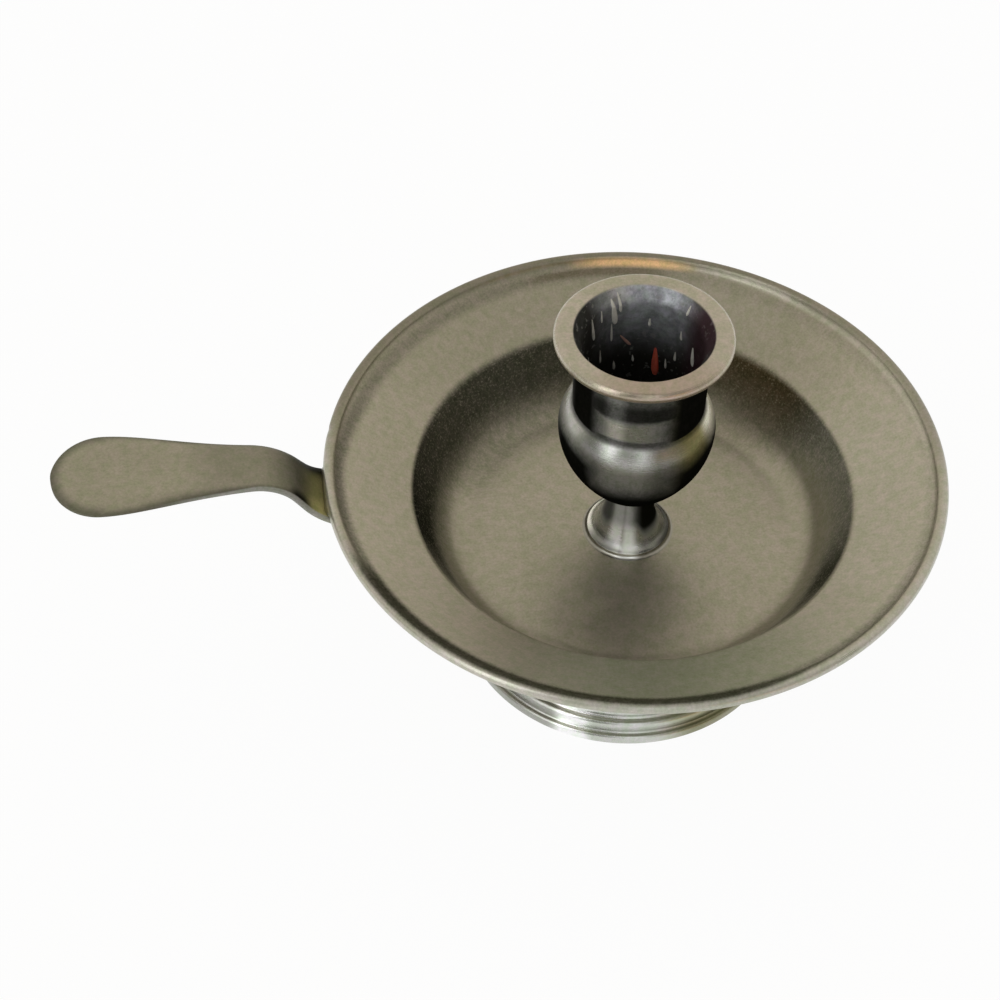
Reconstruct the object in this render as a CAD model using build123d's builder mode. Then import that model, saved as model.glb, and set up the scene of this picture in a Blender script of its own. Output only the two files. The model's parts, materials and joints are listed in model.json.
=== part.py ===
from build123d import *

import os
from math import asin, atan2, cos, degrees, radians, sin, sqrt, tan

# A pewter chamberstick in millimetres: a dished drip pan on a stepped foot, a turned candle
# socket on a trumpet stem, and a spoon-shaped handle soldered under the brim.
# The socket's axis is Z, the foot stands on z = 0 and the handle points along -X.

# Drip pan: spun sheet with a level floor, a well wall, a sloping brim and a reeded rim
pan_radius = 61.0
pan_thickness = 1.5
brim_width = 17.1
well_wall_run = 6.9
floor_fillet = 7.0
well_depth = 13.7
well_edge_round = 2.6
brim_rise = 7.8
reed_radius = 1.15
reed_cove_radius = 2.0

# Foot: a hollow casting with three stepped rings, a cavetto and a flange under the pan
foot_height = 26.7
foot_wall = 2.0
foot_edge_round = 0.5
base_ring_height = 2.5
base_ring_ledge = 1.2
middle_ring_height = 3.0
middle_ring_ledge = 1.6
upper_ring_height = 1.8
upper_ring_ledge = 1.0
foot_cavetto_width = 9.1
foot_waist_height = 3.4
foot_flange_inset = 11.5
foot_flange_ledge = 3.5
foot_flange_thickness = 1.8

# Stem: a solid trumpet with a spigot at each end
stem_height = 12.6
stem_base_radius = 8.4
stem_base_edge = 0.9
stem_top_radius = 4.6
stem_spigot_radius = 3.2
stem_spigot_length = 4.0
stem_tenon_radius = 4.5

# Candle socket: bulb, neck and lip turned in one, bored for a household taper candle
candle_diameter = 22.2
candle_clearance = 0.25
bore_below_belly = 5.95
bore_corner_round = 1.5
mouth_flare = 1.75
mouth_depth = 3.2
mouth_edge_round = 0.4
mouth_blend_round = 3.0
bulb_overhang = 2.55
bulb_belly_height = 17.9
bulb_shoulder_height = 6.4
neck_wall = 1.25
neck_height = 14.8
neck_flare = 0.15
neck_fillet = 0.9
lip_overhang = 4.1
lip_thickness = 2.6
bulb_swell_shares = ((0.43, 0.22), (1.0, 0.58))

# Handle: a flat bar with a spoon end, bent down in an S to a tongue under the brim; its places along
# the bar are measured from the rim, outwards to the spoon and inwards to the tongue
handle_length = 49.9
handle_thickness = 2.2
handle_tip_thickness = 1.4
handle_edge_share = 0.38
handle_rise = 8.3
handle_rise_angle = 3.7
handle_drop_angle = 54.0
handle_drop_offset = 3.5
handle_drop_rise = 2.7
handle_bend_shares = (0.545, 0.21)
spoon_tip_length = 9.3
spoon_half_width = 10.2
handle_neck_offset = 6.5
handle_neck_half_width = 5.6
tongue_half_width = 7.3
tongue_root_inset = 4.0
tongue_end_inset = 12.0
tongue_corner_round = 3.0
spoon_flank_shares = (0.45, 0.25)
root_flare_shares = (0.35, 0.35)

# Solder: a fillet round each joint, and the film left in the handle's joint
socket_solder_leg = 0.9
foot_solder_leg = 1.2
handle_solder_leg = 1.0
solder_film = 0.1
spigot_clearance = 0.05
overrun = 5.0

# Radii that follow from one another, from the rim in and from the candle out
well_radius = pan_radius - brim_width
floor_radius = well_radius - well_wall_run
foot_flange_radius = floor_radius - foot_flange_inset
foot_waist_radius = foot_flange_radius - foot_flange_ledge
bore_radius = candle_diameter / 2 + candle_clearance
neck_radius = bore_radius + neck_wall
bulb_radius = neck_radius + bulb_overhang
lip_radius = neck_radius + lip_overhang

# Heights of the seats, from the table up
pan_underside = foot_height
floor_top = pan_underside + pan_thickness
well_edge_height = floor_top + well_depth
reed_height = well_edge_height + brim_rise
socket_base = floor_top + stem_height
lip_top = (
    socket_base + bulb_belly_height + bulb_shoulder_height + neck_height + lip_thickness
)

# The brim's slope: its top runs from the well edge so that its underside is tangent to the reed
reed_centre = Vector(pan_radius - reed_radius, reed_height)
well_edge = Vector(well_radius, well_edge_height)
reed_offset = reed_centre - well_edge
reed_stand = reed_radius - pan_thickness
brim_angle = degrees(atan2(reed_offset.Y, reed_offset.X) - asin(reed_stand / reed_offset.length))
brim_slope = Vector(cos(radians(brim_angle)), sin(radians(brim_angle)))
brim_normal = Vector(-brim_slope.Y, brim_slope.X)
brim_under = reed_centre - brim_normal * reed_radius

# The cove between the brim and the reed: its arc is tangent to the brim's top and to the bead
cove_reach = reed_radius + reed_cove_radius
cove_rise = reed_cove_radius - reed_stand
cove_run = sqrt(cove_reach**2 - cove_rise**2)
cove_turn = degrees(asin(cove_rise / cove_reach))
cove_centre = reed_centre + brim_normal * cove_rise - brim_slope * cove_run
cove_start = cove_centre - brim_normal * reed_cove_radius


def meeting(point, angle, other, other_angle):
    """The point where a line through point at angle crosses a line through other at other_angle."""
    first = Vector(cos(radians(angle)), sin(radians(angle)))
    second = Vector(cos(radians(other_angle)), sin(radians(other_angle)))
    gap = other - point
    travel = (gap.X * second.Y - gap.Y * second.X) / (first.X * second.Y - first.Y * second.X)
    return point + first * travel


os.makedirs("parts", exist_ok=True)

# Drip pan, with a hole in the floor for the stem's tenon: its top runs out to the cove inside the
# reed, the reed's bead carries on round, and the underside comes back at the sheet's thickness
tenon_hole_radius = stem_tenon_radius + spigot_clearance
floor_corner = Vector(floor_radius, floor_top)
wall_slope = (well_edge - floor_corner).normalized()
wall_angle = degrees(atan2(wall_slope.Y, wall_slope.X))
wall_under = well_edge + Vector(wall_slope.Y, -wall_slope.X) * pan_thickness
floor_corner_under = meeting(wall_under, wall_angle, Vector(0, pan_underside), 0)
well_edge_under = meeting(wall_under, wall_angle, brim_under, brim_angle)
with BuildPart() as drip_pan:
    with BuildSketch(Plane.XZ):
        with BuildLine():
            FilletPolyline(
                (tenon_hole_radius, floor_top),
                (floor_corner.X, floor_corner.Y),
                (well_edge.X, well_edge.Y),
                (cove_start.X, cove_start.Y),
                radius=[floor_fillet, well_edge_round],
            )
            CenterArc(
                (cove_centre.X, cove_centre.Y),
                reed_cove_radius,
                start_angle=brim_angle - 90,
                arc_size=90 - cove_turn,
            )
            CenterArc(
                (reed_centre.X, reed_centre.Y),
                reed_radius,
                start_angle=brim_angle + 180 - cove_turn,
                arc_size=cove_turn - 270,
            )
            FilletPolyline(
                (brim_under.X, brim_under.Y),
                (well_edge_under.X, well_edge_under.Y),
                (floor_corner_under.X, floor_corner_under.Y),
                (tenon_hole_radius, pan_underside),
                radius=[well_edge_round - pan_thickness, floor_fillet + pan_thickness],
            )
            Line((tenon_hole_radius, pan_underside), (tenon_hole_radius, floor_top))
        make_face()
    revolve(axis=Axis.Z)
drip_pan.part.label = "drip_pan"
export_step(drip_pan.part, "parts/drip_pan.step")

# Foot: the rings step out from the cavetto to the base, and the hollow follows them inside the wall
cavetto_radius = foot_waist_radius + foot_cavetto_width
upper_ring_radius = cavetto_radius + upper_ring_ledge
middle_ring_radius = upper_ring_radius + middle_ring_ledge
foot_radius = middle_ring_radius + base_ring_ledge
middle_ring_base = base_ring_height
upper_ring_base = middle_ring_base + middle_ring_height
cavetto_base = upper_ring_base + upper_ring_height
flange_base = foot_height - foot_flange_thickness
cavetto_top = flange_base - foot_waist_height
cavetto_height = cavetto_top - cavetto_base
hollow_radius = upper_ring_radius - foot_wall
hollow_throat = foot_waist_radius - foot_wall
hollow_share = (cavetto_radius - hollow_radius) / (foot_cavetto_width + foot_wall)
hollow_shoulder = cavetto_top - (cavetto_height + foot_wall) * sqrt(1 - hollow_share**2)
hollow_angle = degrees(atan2(-sqrt(1 - hollow_share**2), -hollow_share))

with BuildPart() as foot:
    with BuildSketch(Plane.XZ):
        with BuildLine():
            FilletPolyline(
                (hollow_radius, hollow_shoulder),
                (hollow_radius, 0),
                (foot_radius, 0),
                (foot_radius, middle_ring_base),
                (middle_ring_radius, middle_ring_base),
                (middle_ring_radius, upper_ring_base),
                (upper_ring_radius, upper_ring_base),
                (upper_ring_radius, cavetto_base),
                (cavetto_radius, cavetto_base),
                radius=[0, foot_edge_round, foot_edge_round, 0, foot_edge_round, 0, foot_edge_round],
            )
            EllipticalCenterArc(
                (cavetto_radius, cavetto_top),
                foot_cavetto_width,
                cavetto_height,
                start_angle=180,
                arc_size=90,
            )
            Polyline(
                (foot_waist_radius, cavetto_top),
                (foot_waist_radius, flange_base),
                (foot_flange_radius, flange_base),
                (foot_flange_radius, foot_height),
                (hollow_throat, foot_height),
                (hollow_throat, cavetto_top),
            )
            EllipticalCenterArc(
                (cavetto_radius, cavetto_top),
                foot_cavetto_width + foot_wall,
                cavetto_height + foot_wall,
                start_angle=180,
                arc_size=180 + hollow_angle,
            )
        make_face()
    revolve(axis=Axis.Z)
foot.part.label = "foot"
export_step(foot.part, "parts/foot.step")

# Stem: the trumpet is a quarter ellipse, level at the base edge and upright at the top land
trumpet_base = floor_top + stem_base_edge
trumpet_top = socket_base - socket_solder_leg
with BuildPart() as socket_stem:
    with BuildSketch(Plane.XZ):
        with BuildLine():
            Polyline(
                (0, socket_base + stem_spigot_length),
                (0, pan_underside),
                (stem_tenon_radius, pan_underside),
                (stem_tenon_radius, floor_top),
                (stem_base_radius, floor_top),
                (stem_base_radius, trumpet_base),
            )
            EllipticalCenterArc(
                (stem_base_radius, trumpet_top),
                stem_base_radius - stem_top_radius,
                trumpet_top - trumpet_base,
                start_angle=180,
                arc_size=90,
            )
            Polyline(
                (stem_top_radius, trumpet_top),
                (stem_top_radius, socket_base),
                (stem_spigot_radius, socket_base),
                (stem_spigot_radius, socket_base + stem_spigot_length),
                (0, socket_base + stem_spigot_length),
            )
        make_face()
    revolve(axis=Axis.Z)
socket_stem.part.label = "socket_stem"
export_step(socket_stem.part, "parts/socket_stem.step")

# Candle socket: the bulb swells from its seat to the belly, turns in at the shoulder and meets
# the neck in a crease; the lip is a flange with a full-round edge and a flared mouth
belly = Vector(bulb_radius, socket_base + bulb_belly_height)
bulb_seat = Vector(stem_top_radius + socket_solder_leg, socket_base)
bulb_swell = belly - bulb_seat
swell_points = [
    (bulb_seat.X + bulb_swell.X * out_share, bulb_seat.Y + bulb_swell.Y * up_share)
    for out_share, up_share in bulb_swell_shares
]
shoulder = Vector(neck_radius, belly.Y + bulb_shoulder_height)
lip_underside = lip_top - lip_thickness
lip_edge_radius = lip_thickness / 2
lip_edge_centre = lip_radius - lip_edge_radius
neck_top_radius = neck_radius + neck_flare
mouth_radius = bore_radius + mouth_flare
mouth_base = lip_top - mouth_depth
bore_floor = belly.Y - bore_below_belly
spigot_hole_radius = stem_spigot_radius + spigot_clearance
spigot_hole_top = socket_base + stem_spigot_length + spigot_clearance
with BuildPart() as candle_socket:
    with BuildSketch(Plane.XZ):
        with BuildLine():
            Bezier((bulb_seat.X, bulb_seat.Y), *swell_points, (belly.X, belly.Y))
            TangentArc((belly.X, belly.Y), (shoulder.X, shoulder.Y), tangent=(0, 1))
            FilletPolyline(
                (shoulder.X, shoulder.Y),
                (neck_top_radius, lip_underside),
                (lip_edge_centre, lip_underside),
                radius=neck_fillet,
            )
            CenterArc((lip_edge_centre, lip_top - lip_edge_radius), lip_edge_radius, -90, 180)
            FilletPolyline(
                (lip_edge_centre, lip_top),
                (mouth_radius, lip_top),
                (bore_radius, mouth_base),
                (bore_radius, bore_floor),
                (0, bore_floor),
                radius=[mouth_edge_round, mouth_blend_round, bore_corner_round],
            )
            Polyline(
                (0, bore_floor),
                (0, spigot_hole_top),
                (spigot_hole_radius, spigot_hole_top),
                (spigot_hole_radius, socket_base),
                (bulb_seat.X, bulb_seat.Y),
            )
        make_face()
    revolve(axis=Axis.Z)
candle_socket.part.label = "candle_socket"
export_step(candle_socket.part, "parts/candle_socket.step")

# Handle: its side view is the bent bar, and its plan is the spoon outline that trims it.
# Points are (distance out from the socket's axis, height); the planes turn that towards -X.
handle_side = Plane(origin=(0, 0, 0), x_dir=(-1, 0, 0), z_dir=(0, 1, 0))
handle_plan = Plane(origin=(0, 0, 0), x_dir=(-1, 0, 0), z_dir=(0, 0, 1))
handle_reach = pan_radius + handle_length
handle_neck_reach = pan_radius + handle_neck_offset
spoon_reach = handle_reach - spoon_tip_length
tongue_root_reach = pan_radius - tongue_root_inset
tongue_end_reach = pan_radius - tongue_end_inset
tongue_top = brim_under - brim_normal * solder_film
drop_top = Vector(pan_radius + handle_drop_offset, reed_height + handle_drop_rise)
drop_normal = Vector(-sin(radians(handle_drop_angle)), cos(radians(handle_drop_angle)))
drop_under = drop_top - drop_normal * handle_thickness
grip_top = Vector(handle_neck_reach, reed_height + handle_rise)
tip_height = grip_top.Y + (handle_reach - grip_top.X) * tan(radians(handle_rise_angle))
grip_under = grip_top - Vector(0, handle_thickness)
tip_under = Vector(handle_reach, tip_height - handle_tip_thickness)
grip_under_angle = degrees(atan2(tip_under.Y - grip_under.Y, tip_under.X - grip_under.X))
tongue_under = tongue_top - brim_normal * handle_thickness
tongue_end_top = meeting(tongue_top, brim_angle, Vector(tongue_end_reach, 0), 90)
tongue_end_under = meeting(tongue_under, brim_angle, Vector(tongue_end_reach, 0), 90)
upper_bend_top = meeting(grip_top, handle_rise_angle, drop_top, handle_drop_angle)
lower_bend_top = meeting(tongue_top, brim_angle, drop_top, handle_drop_angle)
upper_bend_under = meeting(grip_under, grip_under_angle, drop_under, handle_drop_angle)
lower_bend_under = meeting(tongue_under, brim_angle, drop_under, handle_drop_angle)
drop_run = (upper_bend_top - lower_bend_top).length
upper_run_share, lower_run_share = handle_bend_shares
upper_bend_half_turn = radians(handle_drop_angle - handle_rise_angle) / 2
lower_bend_half_turn = radians(handle_drop_angle - brim_angle) / 2
upper_bend_radius = drop_run * upper_run_share / tan(upper_bend_half_turn)
lower_bend_radius = drop_run * lower_run_share / tan(lower_bend_half_turn)
spoon_run = spoon_reach - handle_neck_reach
flare_run = handle_neck_reach - tongue_root_reach
neck_run_share, spoon_run_share = spoon_flank_shares
neck_flare_share, tongue_flare_share = root_flare_shares
with BuildPart() as handle:
    with BuildSketch(handle_side):
        with BuildLine():
            FilletPolyline(
                (handle_reach, tip_height),
                (upper_bend_top.X, upper_bend_top.Y),
                (lower_bend_top.X, lower_bend_top.Y),
                (tongue_end_top.X, tongue_end_top.Y),
                radius=[upper_bend_radius, lower_bend_radius],
            )
            FilletPolyline(
                (tip_under.X, tip_under.Y),
                (upper_bend_under.X, upper_bend_under.Y),
                (lower_bend_under.X, lower_bend_under.Y),
                (tongue_end_under.X, tongue_end_under.Y),
                radius=[upper_bend_radius - handle_thickness, lower_bend_radius + handle_thickness],
            )
            Line((handle_reach, tip_height), (tip_under.X, tip_under.Y))
            Line((tongue_end_top.X, tongue_end_top.Y), (tongue_end_under.X, tongue_end_under.Y))
        make_face()
    extrude(amount=spoon_half_width + overrun, both=True)
    with BuildSketch(handle_plan):
        with BuildLine():
            EllipticalCenterArc(
                (spoon_reach, 0),
                handle_reach - spoon_reach,
                spoon_half_width,
                start_angle=0,
                arc_size=90,
            )
            Bezier(
                (spoon_reach, spoon_half_width),
                (spoon_reach - spoon_run * spoon_run_share, spoon_half_width),
                (handle_neck_reach + spoon_run * neck_run_share, handle_neck_half_width),
                (handle_neck_reach, handle_neck_half_width),
            )
            Bezier(
                (handle_neck_reach, handle_neck_half_width),
                (handle_neck_reach - flare_run * neck_flare_share, handle_neck_half_width),
                (tongue_root_reach + flare_run * tongue_flare_share, tongue_half_width),
                (tongue_root_reach, tongue_half_width),
            )
            FilletPolyline(
                (tongue_root_reach, tongue_half_width),
                (tongue_end_reach, tongue_half_width),
                (tongue_end_reach, 0),
                radius=tongue_corner_round,
            )
            mirror(about=Plane.XZ)
        make_face()
    extrude(amount=lip_top, mode=Mode.INTERSECT)
    outline_edges = handle.edges().filter_by(Axis.Y, reverse=True).filter_by(Axis.Z, reverse=True)
    fillet(outline_edges, handle_tip_thickness * handle_edge_share)
handle.part.label = "handle"
export_step(handle.part, "parts/handle.step")

# Solder rings: a hollow fillet outside each turned joint, as (name, radius, seat height, leg, side),
# where side is 1 for a fillet that stands on its seat and -1 for one that hangs under it
solder_rings = (
    ("stem_solder", stem_base_radius, floor_top, stem_base_edge, 1),
    ("socket_solder", stem_top_radius, socket_base, socket_solder_leg, -1),
    ("foot_solder", foot_flange_radius, pan_underside, foot_solder_leg, -1),
)
for ring_name, ring_radius, seat_height, ring_leg, seat_side in solder_rings:
    with BuildPart() as solder_ring:
        with BuildSketch(Plane.XZ):
            with BuildLine():
                Polyline(
                    (ring_radius, seat_height + seat_side * ring_leg),
                    (ring_radius, seat_height),
                    (ring_radius + ring_leg, seat_height),
                )
                TangentArc(
                    (ring_radius, seat_height + seat_side * ring_leg),
                    (ring_radius + ring_leg, seat_height),
                    tangent=(0, -seat_side),
                )
            make_face()
        revolve(axis=Axis.Z)
    solder_ring.part.label = ring_name
    export_step(solder_ring.part, f"parts/{ring_name}.step")

# Handle solder: a sloping bead round the tongue, with the film between the tongue and the brim
tongue_plane = Plane(
    origin=(-brim_under.X, 0, brim_under.Y),
    x_dir=(-brim_slope.X, 0, brim_slope.Y),
    z_dir=(brim_slope.Y, 0, brim_slope.X),
)
bead_length = (brim_under.X - tongue_end_reach) / brim_slope.X
bead_outer_half_width = tongue_half_width + handle_solder_leg
with BuildPart() as handle_solder:
    with BuildSketch(tongue_plane) as bead:
        with Locations((-bead_length / 2, 0)):
            RectangleRounded(
                bead_length + 2 * handle_solder_leg,
                2 * bead_outer_half_width,
                tongue_corner_round + handle_solder_leg,
            )
    extrude(amount=-handle_solder_leg, taper=45)
    extrude(bead.sketch, amount=pan_thickness / 2)
    add(drip_pan.part, mode=Mode.SUBTRACT)
    add(handle.part, mode=Mode.SUBTRACT)
handle_solder.part.label = "handle_solder"
export_step(handle_solder.part, "parts/handle_solder.step")
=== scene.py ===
import json

import bmesh
import bpy
import numpy as np
from mathutils import Matrix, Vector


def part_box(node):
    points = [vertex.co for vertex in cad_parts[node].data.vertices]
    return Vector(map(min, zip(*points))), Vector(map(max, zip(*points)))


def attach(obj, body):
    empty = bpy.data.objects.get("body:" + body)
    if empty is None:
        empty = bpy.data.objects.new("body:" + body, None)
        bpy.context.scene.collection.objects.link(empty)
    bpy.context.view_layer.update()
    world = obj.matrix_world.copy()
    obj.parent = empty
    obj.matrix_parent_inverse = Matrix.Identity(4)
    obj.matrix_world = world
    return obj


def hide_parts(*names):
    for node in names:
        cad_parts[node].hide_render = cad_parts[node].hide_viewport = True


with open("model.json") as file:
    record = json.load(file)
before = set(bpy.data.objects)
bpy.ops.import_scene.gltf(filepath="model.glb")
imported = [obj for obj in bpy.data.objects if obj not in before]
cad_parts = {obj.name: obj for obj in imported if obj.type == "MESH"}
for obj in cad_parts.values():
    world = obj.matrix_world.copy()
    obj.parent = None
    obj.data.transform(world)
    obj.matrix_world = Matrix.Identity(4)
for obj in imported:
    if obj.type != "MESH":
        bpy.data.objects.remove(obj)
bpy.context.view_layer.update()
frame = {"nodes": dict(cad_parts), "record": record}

# The foot: a hollow pewter casting, turned outside into three stepped rings below a cavetto and a flange.
# It stands on the flat rim of its base ring, and the flange is soldered under the pan.
foot_high = 1000 * np.array(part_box("foot"))[1]
foot_radius = foot_high[0]
foot_top = foot_high[2]
foot_wall = 2.0
ring_heights = np.array([2.5, 3.0, 1.8])
ring_ledges = np.array([1.2, 1.6, 1.0])
ring_rounds = (0.3, 0.55, 0.7, 0.45, 0.9, 0.6, 0.6)
cavetto_width = 9.1
waist_height = 3.4
flange_ledge = 3.5
flange_thickness = 1.8


def rounded(corners, radii, steps=8):
    """An outline through corners, where each inner corner is turned by an arc of its radius: the arc
    touches both runs at radius / tan(half the corner's angle), with its centre on the bisector."""
    corners = np.array(corners, float)
    outline = [corners[:1]]
    for before, corner, after, radius in zip(corners, corners[1:], corners[2:], radii):
        back = (before - corner) / np.linalg.norm(before - corner)
        ahead = (after - corner) / np.linalg.norm(after - corner)
        half = np.arccos(np.clip(back @ ahead, -1, 1)) / 2
        bisector = (back + ahead) / np.linalg.norm(back + ahead)
        centre = corner + bisector * radius / np.sin(half)
        spoke = corner + back * radius / np.tan(half) - centre
        side = np.sign(back[1] * ahead[0] - back[0] * ahead[1])
        turn = side * np.linspace(0, np.pi - 2 * half, steps)
        across = np.array([-spoke[1], spoke[0]])
        outline.append(centre + np.cos(turn)[:, None] * spoke + np.sin(turn)[:, None] * across)
    outline.append(corners[-1:])
    return np.concatenate(outline)


def arc(centre, radii, start, sweep, steps=32):
    """An elliptic arc: centre + radii * (cos, sin) of the angles from start through sweep, in degrees."""
    angle = np.radians(start + sweep * np.linspace(0, 1, steps))
    return np.array(centre) + np.array(radii) * np.stack([np.cos(angle), np.sin(angle)], 1)


def grid_mesh(name, points, lengths, closed_rows, closed_columns=True):
    """A quad mesh over a grid of points in millimetres, rows by columns. UV is the share of the way
    round and the length along the outline, in millimetres. Poles and seams are merged."""
    rows, columns = points.shape[:2]
    row = np.arange(rows if closed_rows else rows - 1)[:, None]
    column = np.arange(columns if closed_columns else columns - 1)[None, :]
    next_row, next_column = (row + 1) % rows, (column + 1) % columns
    corners = [
        row * columns + column,
        row * columns + next_column,
        next_row * columns + next_column,
        next_row * columns + column,
    ]
    faces = np.stack([np.broadcast_to(c, (row.size, column.size)) for c in corners], -1).reshape(-1, 4)
    mesh = bpy.data.meshes.new(name)
    mesh.from_pydata((points.reshape(-1, 3) * 0.001).tolist(), [], faces.tolist())
    turn_share = np.stack(np.broadcast_arrays(column, column + 1, column + 1, column), -1) / columns
    ends = np.append(lengths, lengths[-1] + np.linalg.norm(points[-1, 0] - points[0, 0]))
    along = np.stack([ends[row], ends[row], ends[row + 1], ends[row + 1]], -1)
    turn_share = np.broadcast_to(turn_share, (row.size, column.size, 4))
    along = np.broadcast_to(along, (row.size, column.size, 4))
    layer = mesh.uv_layers.new(name="along")
    layer.uv.foreach_set("vector", np.stack([turn_share, along], -1).astype(np.float32).ravel())
    welded = bmesh.new()
    welded.from_mesh(mesh)
    bmesh.ops.remove_doubles(welded, verts=welded.verts, dist=1e-7)
    welded.to_mesh(mesh)
    welded.free()
    mesh.shade_smooth()
    piece = bpy.data.objects.new(name, mesh)
    bpy.context.scene.collection.objects.link(piece)
    return piece


def turned(name, outline, columns=288, spacing=0.5, wear=None):
    """A surface turned about Z: outline point (radius, height) is carried round to columns angles.
    The outline runs anticlockwise, so faces point outwards. It closes on itself or ends on the axis.
    wear gives (radius, height) offsets in millimetres from the angle and the length along the outline."""
    outline = outline[np.append(True, np.linalg.norm(np.diff(outline, axis=0), axis=1) > 1e-6)]
    closed = outline[0, 0] > 0
    looped = np.vstack([outline, outline[:1]]) if closed else outline
    corner_length = np.append(0, np.cumsum(np.linalg.norm(np.diff(looped, axis=0), axis=1)))
    extra = np.arange(0, corner_length[-1], spacing)
    length = np.union1d(corner_length, extra[np.abs(extra[:, None] - corner_length).min(1) > spacing / 4])
    length = length[:-1] if closed else length
    radius = np.interp(length, corner_length, looped[:, 0])[:, None]
    height = np.interp(length, corner_length, looped[:, 1])[:, None]
    angle = np.linspace(0, 2 * np.pi, columns, endpoint=False)[None, :]
    if wear:
        radius_wear, height_wear = wear(angle, length[:, None])
        radius, height = radius + radius_wear, height + height_wear
    points = np.stack(
        np.broadcast_arrays(radius * np.cos(angle), radius * np.sin(angle), height), -1
    )
    return grid_mesh(name, points, length, closed)


class Shade:
    """An output of a shader node that reads as a number: sums and products of it add Math nodes."""

    def __init__(self, tree, socket=None):
        self.tree = tree
        self.socket = socket

    def node(self, kind, settings=None, sockets=None, output=0):
        """Adds a node of a kind: its settings are set first, then its sockets get values or links."""
        added = self.tree.nodes.new(kind)
        for setting, value in (settings or {}).items():
            setattr(added, setting, value)
        for key, value in (sockets or {}).items():
            if isinstance(value, Shade):
                self.tree.links.new(value.socket, added.inputs[key])
            else:
                added.inputs[key].default_value = value
        return Shade(self.tree, added.outputs[output] if added.outputs else None)

    def math(self, operation, first, second=0.0):
        return self.node("ShaderNodeMath", {"operation": operation}, {0: first, 1: second})

    def __add__(self, other):
        return self.math("ADD", self, other)

    def __sub__(self, other):
        return self.math("SUBTRACT", self, other)

    def __rsub__(self, other):
        return self.math("SUBTRACT", other, self)

    def __mul__(self, other):
        return self.math("MULTIPLY", self, other)

    def __truediv__(self, other):
        return self.math("DIVIDE", self, other)

    def __pow__(self, other):
        return self.math("POWER", self, other)

    def __abs__(self):
        return self.math("ABSOLUTE", self)

    __radd__ = __add__
    __rmul__ = __mul__


def step(value, low, high):
    """A smooth step that rises from 0 at low to 1 at high."""
    settings = {"interpolation_type": "SMOOTHSTEP"}
    return value.node("ShaderNodeMapRange", settings, {0: value, 1: low, 2: high})


def noise(vector, scale, detail=2.0, rough=0.5):
    """Fractal noise about 0.5 at a scale in cycles for each unit of vector."""
    sockets = {"Vector": vector, "Scale": scale, "Detail": detail, "Roughness": rough}
    return vector.node("ShaderNodeTexNoise", None, sockets)


def tint(share, first, second):
    """A colour between first and second; a Mix node, since a Math node would turn it grey."""
    ends = {6: first, 7: second}
    colours = {key: end if isinstance(end, Shade) else (*end, 1) for key, end in ends.items()}
    return share.node("ShaderNodeMix", {"data_type": "RGBA"}, {0: share, **colours}, 2)


def scaled(colour, factor):
    """A colour with its three channels multiplied by one number."""
    return factor.node("ShaderNodeVectorMath", {"operation": "SCALE"}, {0: colour, "Scale": factor})


class Pewter:
    """The coordinates and layers of a turned pewter surface. place is the point in metres, along the
    length on the outline in millimetres, right and back a unit circle, and flank runs from -1 at the left
    to 1 at the right of the front. patches are cloudy drifts of tarnish, lines the marks of the lathe
    that run round the piece, and grain and drift the fine and the coarser tooth of the metal."""

    def __init__(self, name, line_pitch=0.22, patch_size=0.016):
        self.material = bpy.data.materials.new(name)
        self.material.use_nodes = True
        self.material.node_tree.nodes.clear()
        base = Shade(self.material.node_tree)
        self.place = base.node("ShaderNodeTexCoord", output=3)
        uv = base.node("ShaderNodeUVMap", {"uv_map": "along"})
        self.along = uv.node("ShaderNodeSeparateXYZ", None, {0: uv}, 1)
        self.x, self.y, self.z = (
            base.node("ShaderNodeSeparateXYZ", None, {0: self.place}, axis) for axis in range(3)
        )
        self.radius = (self.x * self.x + self.y * self.y + 1e-12) ** 0.5
        self.right, self.back = self.x / self.radius, self.y / self.radius
        self.flank = self.right * 0.99 - self.back * 0.14
        wound = {0: self.right * 1.5, 1: self.back * 1.5, 2: self.along / line_pitch}
        self.lines = noise(base.node("ShaderNodeCombineXYZ", None, wound), 1.0, 3.0, 0.6)
        self.patches = noise(self.place, 1 / patch_size, 4.0, 0.55)
        self.grain = noise(self.place, 2100.0, 2.0, 0.7)
        self.drift = noise(self.place, 520.0, 3.0, 0.65)

    def mottled(self, colour, share):
        """A colour that the grain and the drift lighten and darken by about a share of it, the drift
        leaning a little to green where it darkens and to pink where it lightens."""
        hued = tint(step(self.drift, 0.3, 0.7), (0.95, 1.0, 0.92), (1.05, 1.0, 1.06))
        dyed = self.grain.node("ShaderNodeVectorMath", {"operation": "MULTIPLY"}, {0: colour, 1: hued})
        return scaled(dyed, 1 + (self.grain - 0.5) * share + (self.drift - 0.5) * (share * 0.6))

    def finish(self, colour, roughness, metallic=1.0, relief=None, depth=0.00002, strength=0.25):
        """Joins the layers in one shader: bare metal where metallic is 1, dull film where it is less."""
        tree = self.material.node_tree
        base = Shade(tree)
        height = relief if relief else self.lines * 0.7 + self.grain * 0.3
        bumps = {"Strength": strength, "Distance": depth, "Height": height}
        normal = base.node("ShaderNodeBump", None, bumps)
        sockets = {"Base Color": colour, "Roughness": roughness, "Metallic": metallic, "Normal": normal}
        metal = base.node("ShaderNodeBsdfPrincipled", None, {**sockets, "Specular IOR Level": 0.0})
        base.node("ShaderNodeOutputMaterial", None, {"Surface": metal})
        return self.material


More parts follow.
